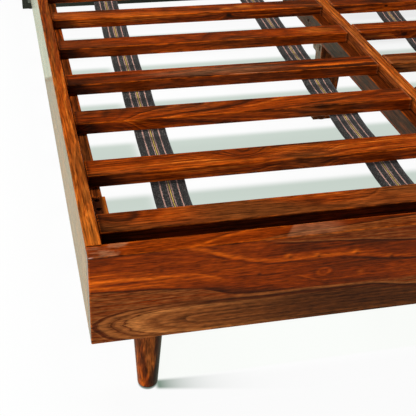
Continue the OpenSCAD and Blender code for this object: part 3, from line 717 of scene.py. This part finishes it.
def eased_solid(node, angle, run, ease):
    """A clean copy of a node's own solid, whose edges are eased where they are sharper
    than angle and longer than run."""
    bm = bmesh.new()
    bm.from_mesh(FRAME["nodes"][node].data)
    bmesh.ops.remove_doubles(bm, verts=bm.verts, dist=2e-5)
    bmesh.ops.dissolve_limit(bm, angle_limit=math.radians(1), verts=bm.verts, edges=bm.edges)
    bmesh.ops.recalc_face_normals(bm, faces=bm.faces)
    shared = [edge for edge in bm.edges if len(edge.link_faces) == 2]
    sharp = [edge for edge in shared if edge.calc_face_angle() > angle and edge.calc_length() > run]
    ease_edges(bm, sharp, ease, 2)
    return bm


def carve(piece, cutter_shape):
    """Takes a cutter's shape out of a piece."""
    cutter = as_object("cutter", cutter_shape)
    whole = bpy.data.objects.new("whole", piece.data)
    bpy.context.scene.collection.objects.link(whole)
    cut = whole.modifiers.new("Pockets", "BOOLEAN")
    cut.operation, cut.solver, cut.object = "DIFFERENCE", "EXACT", cutter
    bpy.context.view_layer.update()
    graph = bpy.context.evaluated_depsgraph_get()
    piece.data = bpy.data.meshes.new_from_object(whole.evaluated_get(graph))
    for made in (whole, cutter):
        mesh = made.data
        bpy.data.objects.remove(made)
        bpy.data.meshes.remove(mesh)
    piece.data.name = piece.name


def drill(spots, direction, bore, deep):
    """Cutter for slanted round holes of a depth under each spot."""
    bm = bmesh.new()
    turn = Vector((0, 0, 1)).rotation_difference(direction).to_matrix().to_4x4()
    for spot in spots:
        made = bmesh.ops.create_cone(bm, cap_ends=True, segments=32, radius1=bore / 2, radius2=bore / 2,
                                     depth=deep * 2)
        bmesh.ops.transform(bm, matrix=Matrix.Translation(spot) @ turn, verts=made["verts"])
    return bm


class Piece:
    """What the operators share."""

    bl_options = {"REGISTER", "UNDO"}

    def board(self, node, run, seed, slot="rail_wood", ease=None, **cut):
        """Adds a sawn board in a node's place."""
        low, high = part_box(node)
        finish = wood(node + "_wood", run, low, high, seed, **cut)
        shape = block(low, high, ease or bpy.context.scene.bed_sizes.ease)
        return add_piece(node + "_board", shape, finish, node)


class BED_OT_foot_rail(Piece, bpy.types.Operator):
    """Foot rail with its wide front figure"""

    bl_idname = "bed.foot_rail"
    bl_label = "Foot rail"

    def execute(self, context):
        low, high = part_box("foot_rail")
        finish = foot_figure("foot_rail_wood", low, high)
        shape = block(low, high, context.scene.bed_sizes.ease)
        add_piece("foot_rail_board", shape, finish, "foot_rail")
        return {"FINISHED"}


class BED_OT_side_rails(Piece, bpy.types.Operator):
    """Side rails that butt against the foot rail"""

    bl_idname = "bed.side_rails"
    bl_label = "Side rails"

    def execute(self, context):
        accents = ((-0.95, 0.0, 0.75, 9.0, "honey", 0.24), (0.55, 0.0, 0.95, 9.0, "bark", 0.42))
        for k, side in enumerate(SIDES):
            self.board("side_rail_" + side, "YZ", 11.0 + 7 * k, heart=(0.12, 0.03), drift=(0.02, 0.03),
                       tone=1.14, red=0.36, ring=1.7, sway=0.9, outside=(0, 1.0, 0.15),
                       lighter=-0.22, accents=accents)
        return {"FINISHED"}


def front(paint, share, deep=0.003):
    """An accent over the whole front face of a slat."""
    return (0.0, -0.0305, 9.0, deep, paint, share)


# How the slats near the foot were sawn. Accents and bumps are places along and across; some accents are
# painted shade and painted highlights.
SAWN = {
    "slat_left_01": dict(
        heart=(0.01, -0.1), drift=(0.01, 0.03), tone=1.03, red=0.53, dark=0.15, sway=0.8,
        # Painted shade over the front, in the gap behind the foot rail.
        bumps=((-0.33, 0.0, 0.03), (0.1, 0.02, 0.04)), accents=(front("soot", 0.85, 0.0022),)),
    "slat_left_02": dict(
        heart=(-0.05, -0.03), drift=(0.01, 0.05), tone=1.08, red=0.34, dark=0.4,
        bumps=((-0.06, 0.004, 0.03), (0.08, -0.01, 0.026)),
        accents=((-0.05, -0.012, 0.3, 0.0022, "umber", 0.75), (0.05, 0.01, 0.1, 0.01, "flame", 0.35),
                 front("umber", 0.36))),
    "slat_left_03": dict(
        heart=(0.03, -0.05), drift=(0.03, -0.06), tone=0.97, dark=0.2, sway=0.9,
        bumps=((-0.3, -0.02, 0.03),),
        accents=((0.27, -0.003, 0.13, 0.002, "umber", 0.8), (0.26, -0.018, 0.12, 0.007, "amber", 0.6),
                 front("umber", 0.16))),
    "slat_left_04": dict(
        heart=(-0.02, -0.12), drift=(0.0, 0.02), tone=0.83, red=0.3, dark=0.15, sway=0.7,
        # The broad pale patch on the top is hazy lacquer; the thin pale line just behind the front edge is a
        # painted highlight.
        accents=((-0.02, 0.0, 0.2, 0.024, "dust", 0.26), (0.06, -0.0265, 0.1, 0.0014, "dust", 0.8),
                 (0.27, -0.008, 0.12, 0.007, "flame", 0.75), (0.27, -0.026, 0.13, 0.0035, "streak", 0.5),
                 front("amber", 0.22))),
    "slat_left_05": dict(
        heart=(0.0, -0.035), drift=(0.0, 0.01), tone=1.1, red=0.36, dark=0.3,
        bumps=((-0.03, -0.025, 0.045), (0.11, 0.0, 0.018)),
        accents=((0.22, -0.028, 0.2, 0.0028, "streak", 0.5), (0.3, 0.0, 0.06, 0.02, "honey", 0.35),
                 front("amber", 0.25))),
    "slat_left_06": dict(
        heart=(0.02, -0.06), drift=(0.0, 0.03), tone=1.04, dark=0.2,
        knots=((0.105, -0.029, 0.002, 0.013),), bumps=((0.15, 0.0, 0.02),),
        accents=((0.155, 0.003, 0.035, 0.012, "honey", 0.7), (0.1, -0.01, 0.02, 0.008, "honey", 0.6),
                 front("umber", 0.22))),
    "slat_right_01": dict(
        # Painted shade over the front, in the gap behind the foot rail.
        heart=(0.01, -0.07), drift=(0.02, 0.03), red=0.45, accents=(front("soot", 0.85, 0.0022),)),
    "slat_right_04": dict(heart=(0.05, -0.09), drift=(0.0, 0.02), tone=1.16, red=0.46, dark=0.2, sway=0.7),
    "slat_right_05": dict(tone=1.0, red=0.4, knots=((-0.247, -0.029, 0.001, 0.015),)),
    "slat_right_06": dict(tone=1.0, red=0.4, knots=((-0.214, -0.029, 0.005, 0.009),)),
}


class BED_OT_slats(Piece, bpy.types.Operator):
    """Two banks of loose slats"""

    bl_idname = "bed.slats"
    bl_label = "Slats"

    def execute(self, context):
        for k, side in enumerate(SIDES):
            for i, node in enumerate(SLATS[side]):
                seed = 20.0 + 13.7 * i + 5.3 * k
                cut = dict(
                    heart=(0.045 * math.sin(seed), -0.05 - 0.04 * math.cos(seed * 1.7)), dark=0.35, red=0.38,
                    drift=(0.03 * math.sin(seed * 3), 0.06 * math.cos(seed * 2)), tone=1.02,
                )
                cut.update(SAWN.get(node, {}))
                cut["accents"] = (*cut.get("accents", ()), *self.darker_end(node, side))
                self.board(node, "X", seed, "slat_wood", **cut)
        return {"FINISHED"}

    @staticmethod
    def darker_end(node, side):
        """Painted shade at the end next to the side rail, on the front and the top, and at the
        other end a painted highlight on the top and a dark line of painted shade on the front."""
        low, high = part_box(node)
        end = (high.x - low.x) / 2 * (-1 if side == "left" else 1)
        near = (low.y - high.y) / 2
        return ((end, near, 0.06, 0.01, "soot", 0.72), (end, 0.0, 0.009, 1.0, "soot", 0.6),
                (-end, 0.0, 0.006, 1.0, "dust", 0.3), (-end, near, 0.0036, 0.006, "soot", 0.9))


class BED_OT_centre_beam(Piece, bpy.types.Operator):
    """Centre board between its two ledgers"""

    bl_idname = "bed.centre_beam"
    bl_label = "Centre beam"

    def execute(self, context):
        low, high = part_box("centre_board")
        half = (high.x - low.x) / 2
        # The pale line along the left edge of the top is a painted highlight.
        seams = ((0.003, 0.0013, 0.6, "streak"), (0.0012 - half, 0.0009, 0.5, "dust"),
                 (0.0045 - half, 0.001, 0.45, "streak"), (half - 0.0015, 0.001, 0.55, "streak"))
        self.board("centre_board", "YZ", 43.0, heart=(0.08, 0.04), tone=1.26, ring=1.5, dark=0.8,
                   seams=seams)
        for k, side in enumerate(SIDES):
            low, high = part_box("centre_ledger_" + side)
            top, inner = (high.z - low.z) / 2, 1 - 2 * k
            accents = ((0.0, top, 9.0, 0.004, "umber", 0.85), (0.0, 0.004 - top, 9.0, 0.0045, "amber", 0.5))
            seam = (inner * 0.0105, 0.0016, 0.8, "streak")
            self.board("centre_ledger_" + side, "YZ", 51.0 + 5 * k, "ledger_wood", tone=0.74, red=0.55,
                       outside=(0, 0.12, 0.8), seams=(seam,), accents=accents)
        return {"FINISHED"}


# The screw pockets in the corner blocks: bore, depth, slant, how far the first lies from
# the block's end, and their pitch.
POCKET_BORE, POCKET_DEEP, POCKET_SLANT = 0.0092, 0.0085, math.radians(35)
POCKET_FIRST, POCKET_PITCH = 0.012, 0.029


class BED_OT_ledgers(Piece, bpy.types.Operator):
    """Side ledgers, corner blocks with their screw pockets, and leg blocks"""

    bl_idname = "bed.ledgers"
    bl_label = "Ledgers and blocks"

    def execute(self, context):
        ease = context.scene.bed_sizes.small_ease
        for k, side in enumerate(SIDES):
            self.board("side_ledger_" + side, "YZ", 61.0 + 5 * k, "ledger_wood", tone=0.8, red=0.56,
                       lighter=-0.13)
            self.board("leg_block_" + side, "X", 71.0 + 5 * k, "ledger_wood", ease=ease, tone=0.9)
            low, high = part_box("corner_block_" + side)
            way = -1.0 if side == "left" else 1.0
            # Painted shade over the half of the block next to the side rail, and a painted highlight along
            # its inner edge.
            rim = way * ((low.x - high.x) / 2 + 0.002)
            seams = ((way * 0.004, 0.013, 0.95, "streak"), (rim, 0.0038, 0.75, "honey"))
            made = self.board("corner_block_" + side, "YZ", 81.0 + 5 * k, "ledger_wood", ease=ease,
                              tone=0.98, seams=seams)
            first = Vector(((low.x + high.x) / 2, high.y - POCKET_FIRST, high.z))
            slant = Vector((way * math.sin(POCKET_SLANT), 0, -math.cos(POCKET_SLANT)))
            spots = (first, first - Vector((0, POCKET_PITCH, 0)))
            carve(made, drill(spots, slant, POCKET_BORE, POCKET_DEEP))
        return {"FINISHED"}


# Long marks on the front legs: places up and across, their reach and width, paint and share.
LEG_MARKS = (
    (0.03, 0.001, 0.07, 0.012, "tan", 0.6), (0.0, -0.004, 0.03, 0.005, "sapwood", 0.5),
    (0.037, -0.019, 0.022, 0.003, "streak", 0.6), (0.0, -0.013, 0.024, 0.0036, "streak", 0.7),
    (-0.034, -0.007, 0.022, 0.0042, "streak", 0.75), (-0.062, 0.0, 0.022, 0.007, "streak", 0.75),
    (-0.036, -0.019, 0.02, 0.006, "flame", 0.6), (-0.064, -0.013, 0.018, 0.005, "flame", 0.85),
    # The long dark mark down the whole right side is painted shade.
    (0.0, 0.018, 9.0, 0.012, "streak", 0.92), (-0.052, 0.0095, 0.04, 0.013, "streak", 0.88),
)

# Radius of a front leg's foot, and of the rounding under it.
LEG_FOOT, LEG_ROUND = 0.019, 0.005


class BED_OT_legs(Piece, bpy.types.Operator):
    """Turned front legs and the stepped support leg"""

    bl_idname = "bed.legs"
    bl_label = "Legs"

    def execute(self, context):
        sizes = context.scene.bed_sizes
        for k, side in enumerate(SIDES):
            node = "front_leg_" + side
            low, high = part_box(node)
            # Painted shade round the bottom of the leg.
            foot_shade = ((low.z - high.z) / 2 + 0.001, 0.0, 0.0045, 9.0, "soot", 0.9)
            finish = wood(node + "_wood", "Z", low, high, 91.0 + 6 * k, heart=(0.012, -0.03),
                          drift=(0.1, 0.05), tone=1.14, red=0.46, ring=1.5, dark=0.25, sway=1.1,
                          accents=(*LEG_MARKS, foot_shade))
            shape = self.turned(low, high, sizes.leg_facets)
            add_piece(node + "_turned", shape, finish, node)
        low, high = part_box("support_leg")
        finish = wood("support_leg_wood", "Z", low, high, 99.0, heart=(0.05, 0.04), tone=0.96, red=0.66,
                      outside=(0, 0.55, 0.3))
        shape = eased_solid("support_leg", angle=0.6, run=0.012, ease=sizes.small_ease)
        add_piece("support_leg_shaped", shape, finish, "support_leg")
        return {"FINISHED"}

    @staticmethod
    def turned(low, high, facets):
        """A tapered leg spun from its outline, with a rounded foot."""
        axis = (low + high) / 2
        top = (high.x - low.x) / 2
        turns = [math.radians(-90 + 15 * n) for n in range(7)]
        rounding = [
            (LEG_FOOT + LEG_ROUND * (math.cos(a) - 1), low.z + LEG_ROUND * (1 + math.sin(a))) for a in turns
        ]
        outline = [(0.0, low.z)] + rounding + [(top, high.z), (0.0, high.z)]
        bm = bmesh.new()
        verts = [bm.verts.new((axis.x + r, axis.y, z)) for r, z in outline]
        for a, b in zip(verts, verts[1:]):
            bm.edges.new((a, b))
        bmesh.ops.spin(bm, geom=bm.verts[:] + bm.edges[:], cent=(axis.x, axis.y, 0), axis=(0, 0, 1),
                       angle=2 * math.pi, steps=facets, use_merge=True)
        bmesh.ops.remove_doubles(bm, verts=bm.verts, dist=1e-5)
        return bm


class BED_OT_headboard(Piece, bpy.types.Operator):
    """Framed headboard"""

    bl_idname = "bed.headboard"
    bl_label = "Headboard"

    def execute(self, context):
        ease = context.scene.bed_sizes.ease * 0.7
        for name, run, seed in (("post_left", "Z", 3.0), ("post_right", "Z", 5.0), ("top_rail", "XZ", 7.0),
                                ("bottom_rail", "XZ", 9.0), ("mid_rail", "XZ", 12.0), ("panel", "Z", 15.0)):
            node = "headboard_" + name
            paint, slot = ("panel", "panel") if name == "panel" else ("charcoal", "frame")
            finish = stained_wood(node + "_stain", run, paint, *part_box(node), seed)
            shape = eased_solid(node, angle=1.2, run=0.03, ease=ease)
            add_piece(node + "_shaped", shape, finish, node)
        return {"FINISHED"}


# Steps of a strap's path in each gap between two slats.
GAP_STEPS = 12


class BED_OT_straps(Piece, bpy.types.Operator):
    """Webbing straps that run under the slats and sag between them"""

    bl_idname = "bed.straps"
    bl_label = "Straps"

    def execute(self, context):
        for k, (node, side, turn, slack) in enumerate((
            ("strap_left_outer", "left", 0.75, 0.9), ("strap_left_inner", "left", 0.0, 0.5),
            ("strap_right_inner", "right", 0.0, 0.9), ("strap_right_outer", "right", 0.0, 0.7),
        )):
            self.strap(context, node, side, math.tan(math.radians(turn)), slack, 4.0 + 9.0 * k)
        return {"FINISHED"}

    @staticmethod
    def path(node, side, slack):
        """Stations along the strap: place along the bed, sag and share of a gap."""
        low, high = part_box(node)
        sag = (high.z - low.z - 0.0018) * slack
        slats = [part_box(slat) for slat in SLATS[side]]
        stations = [(low.y, 0.0, 0.0)]
        for (_, back), (ahead, _) in zip(slats, slats[1:]):
            for n in range(GAP_STEPS + 1):
                u = n / GAP_STEPS
                y = back.y + (ahead.y - back.y) * u
                stations.append((y, 4 * sag * u * (1 - u), math.sin(math.pi * u)))
        stations.append((high.y, 0.0, 0.0))
        return stations

    def strap(self, context, node, side, slope, slack, seed):
        """Adds one strap. It leans by slope and hangs with a little chance in it."""
        sizes = context.scene.bed_sizes
        low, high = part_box(node)
        middle, run = (low + high) / 2, high.y - low.y
        width = high.x - low.x - run * abs(slope)
        stations = self.path(node, side, slack)
        last = len(stations) - 1
        bm = bmesh.new()
        layer = bm.loops.layers.uv.new("weave")
        bmesh.ops.create_grid(bm, x_segments=sizes.strap_cells, y_segments=last, size=0.5, calc_uvs=True)
        for vert in bm.verts:
            u = vert.co.x + 0.5
            y, drop, free = stations[round((vert.co.y + 0.5) * last)]
            stray = noise.noise(Vector((seed, y * 3.1, 0.3))) * 0.0015 * free
            curl = (1 - (2 * u - 1) ** 2) * sizes.strap_curl * free
            ripple = noise.noise(Vector((u * 2.0, y * 9.0, seed))) * 0.0012 * free
            vert.co = Vector((
                middle.x + (y - middle.y) * slope + (u - 0.5) * width + stray,
                y,
                high.z - sizes.strap_thick / 2 - drop + curl + ripple - 0.0001,
            ))
        for face in bm.faces:
            for loop in face.loops:
                loop[layer].uv.y = (loop.vert.co.y - low.y) / run
        first, second = (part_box(slat)[0].y for slat in SLATS[side][:2])
        finish = webbing(node + "_weave", width, run, (first - low.y, second - first))
        piece = add_piece(node + "_webbing", bm, finish, node, even=False)
        thick = piece.modifiers.new("Thickness", "SOLIDIFY")
        thick.thickness, thick.offset = sizes.strap_thick, 0.0
        flat_run = sum(math.hypot(b[0] - a[0], b[1] - a[1]) for a, b in zip(stations, stations[1:]))


class BED_OT_hardware(Piece, bpy.types.Operator):
    """Finishes of the screws, bolts, brackets, dowels, nails and glides"""

    bl_idname = "bed.hardware"
    bl_label = "Hardware"

    def execute(self, context):
        steel = ("ledger_screws", "pocket_screws", "leg_block_screws", "hanger_screws", "strap_nails",
                 "bed_bolts", "barrel_nuts", "leg_hanger_bolts", "beam_hanger_foot", "beam_hanger_head")
        glides = ("front_leg_glides", "support_leg_glide", "headboard_glides")
        dowel = wood("dowel_wood", "Y", *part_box("corner_dowels"), 33.0, tone=1.2)
        for finish, nodes in (
            (plated_steel("zinc_plate"), steel), (dowel, ("corner_dowels",)),
            (moulded_plastic("glide_plastic"), glides),
        ):
            for node in nodes:
                for material_slot in FRAME["nodes"][node].material_slots:
                    material_slot.material = finish
        return {"FINISHED"}


# Middles of the slats' pale shadows on the floor, along the bed.
FLOOR_SHADE = (-0.664, -0.395, -0.126, 0.118, 0.376, 0.63)


def floor_paper(name):
    """Matt paper that shows white, with painted shadows. A small part of it stays matt,
    and keeps the bed's own shadow."""
    f = Finish(name)
    x, y, z = f.place()
    cloudy = f.cloud(f.point(x * 2.0, y * 2.0, z))
    paper = f.ramp(cloudy, [(0.3, [c * 0.985 for c in f.hue.floor]), (0.7, f.hue.floor)])
    aside = abs(x)

    # Bars of shade from the slats, with a light gap between the straps and the rail.
    shade = 0.0
    for middle in FLOOR_SHADE:
        shade = f.fade(abs(y - middle), 0.032, 0.068) + shade
    shade = shade * f.fade(aside, 0.7, 0.74) * (1.0 - f.hump(aside, 0.545, 0.022))
    white = f.blend(shade, (1.0, 1.0, 1.0), (0.6, 0.68, 0.62))

    # A faint shade behind the foot rail.
    behind = f.step(y, -0.98, -0.97) * f.fade(y, -0.6, -0.45) * f.fade(aside, 0.665, 0.68)
    white = f.blend(behind, white, (0.97, 0.988, 0.962))

    # A pool of shadow that fades inwards from each front leg, and a dark ring round its foot.
    low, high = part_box("front_leg_right")
    leg = (low + high) / 2
    inward = 0.668 - aside
    pool = f.maths("EXPONENT", inward * -20.5) * f.step(inward, -0.012, 0.0) * 0.8
    pool = pool * f.step(y + inward * 0.19, -1.001, -0.991) * f.fade(y + inward * 0.045, -0.979, -0.969)
    white = f.blend(pool, white, (0.0, 0.1, 0.03))
    ring = f.fade(f.maths("SQRT", f.squares(aside - leg.x, y - leg.y)), 0.015, 0.0195)
    white = f.blend(ring * 0.85, white, (0.0, 0.05, 0.02))

    white = f.blend(f.ray("Glossy"), white, (0.885, 1.01, 0.81))
    seen = f.ray("Camera") + f.ray("Glossy") + f.ray("Transmission")
    plain = 0.95 - f.step(x, 0.15, 0.45) * 0.15 - f.step(y, 1.05, 1.4) * 0.15
    matt = f.node("BsdfDiffuse", None, Color=paper)
    lit = f.node("Emission", None, Color=white, Strength=1.0)
    f.node("OutputMaterial", None, f.node("MixShader", None, seen * plain, matt, lit))
    return f.material


class BED_OT_studio(bpy.types.Operator):
    """Pale floor, soft light and the camera"""

    bl_idname = "bed.studio"
    bl_label = "Studio"

    def execute(self, context):
        bm = bmesh.new()
        bmesh.ops.create_grid(bm, x_segments=1, y_segments=1, size=30.0)
        floor = as_object("studio_floor", bm)
        floor.data.materials.append(floor_paper("floor_paper"))
        self.world(context)
        self.lamp("Overhead", (-0.65, -0.07, 2.6), aim=(-0.65, -0.07, 0), size=(1.8, 0.26), power=53.0)
        self.lamp("Front", (-2.7, -4.1, 1.25), aim=(-0.4, -0.8, 0.3), size=(0.7, 0.5), power=77.0)
        self.camera(context)
        context.scene.view_settings.view_transform = "Standard"
        return {"FINISHED"}

    @staticmethod
    def world(context):
        """White to the camera, soft on the bed, and darker overhead in what it mirrors."""
        world = bpy.data.worlds.new("studio")
        context.scene.world = world
        world.use_nodes = True
        nodes = Nodes(world.node_tree)
        height = nodes.split(nodes.node("TexCoord"))[2]
        soft = nodes.node("Background", None, Color=(0.97, 0.985, 1.0), Strength=0.22)
        ceiling = nodes.node("MapRange", None, height, 0.0, 0.25, 0.8, 0.05)
        mirrored = nodes.node("Background", None, Strength=ceiling)
        white = nodes.node("Background", None, Color=(1.0, 1.0, 1.0))
        shown = nodes.node("MixShader", None, nodes.ray("Glossy"), soft, mirrored)
        nodes.node("OutputWorld", None, nodes.node("MixShader", None, nodes.ray("Camera"), shown, white))

    @staticmethod
    def lamp(name, spot, aim, size, power):
        """An oblong lamp that lights the bed and isn't mirrored in it."""
        light = bpy.data.lights.new(name, "AREA")
        light.shape, light.energy = "RECTANGLE", power
        light.size, light.size_y = size
        lamp = bpy.data.objects.new(name, light)
        lamp.location = spot
        lamp.rotation_euler = (Vector(aim) - Vector(spot)).to_track_quat("-Z", "Y").to_euler()
        lamp.visible_glossy = False
        bpy.context.scene.collection.objects.link(lamp)

    @staticmethod
    def camera(context):
        """The photograph's viewing angle."""
        data = bpy.data.cameras.new("Photo view")
        data.sensor_width, data.lens, data.shift_x = 36.0, 72.05, 0.0673
        camera = bpy.data.objects.new("Photo view", data)
        camera.location = (-0.8874, -2.0707, 1.1418)
        camera.rotation_euler = Euler(math.radians(turn) for turn in (56.087, -1.45, -11.919))
        context.scene.collection.objects.link(camera)
        context.scene.camera = camera


class BED_PT_pieces(bpy.types.Panel):
    """Lists the operators and their sizes and colours"""

    bl_idname = "BED_PT_pieces"
    bl_label = "Bed frame"
    bl_space_type = "VIEW_3D"
    bl_region_type = "UI"
    bl_category = "Bed"

    def draw(self, context):
        column = self.layout.column()
        for operator in OPERATORS:
            column.operator(operator.bl_idname)
        for group in (context.scene.bed_sizes, context.scene.bed_colours):
            for name in group.__annotations__:
                column.prop(group, name)


OPERATORS = (
    BED_OT_foot_rail, BED_OT_side_rails, BED_OT_slats, BED_OT_centre_beam, BED_OT_ledgers,
    BED_OT_legs, BED_OT_headboard, BED_OT_straps, BED_OT_hardware, BED_OT_studio,
)
CLASSES = (BedSizes, BedColours, *OPERATORS, BED_PT_pieces)


def register():
    for each in CLASSES:
        bpy.utils.register_class(each)
    bpy.types.Scene.bed_sizes = PointerProperty(type=BedSizes)
    bpy.types.Scene.bed_colours = PointerProperty(type=BedColours)


def unregister():
    del bpy.types.Scene.bed_colours
    del bpy.types.Scene.bed_sizes
    for each in reversed(CLASSES):
        bpy.utils.unregister_class(each)


def main():
    register()
    bpy.ops.bed.studio()
    bpy.ops.bed.foot_rail()
    bpy.ops.bed.side_rails()
    bpy.ops.bed.slats()
    bpy.ops.bed.centre_beam()
    bpy.ops.bed.ledgers()
    bpy.ops.bed.legs()
    bpy.ops.bed.headboard()
    bpy.ops.bed.straps()
    bpy.ops.bed.hardware()


if __name__ == "__main__":
    main()
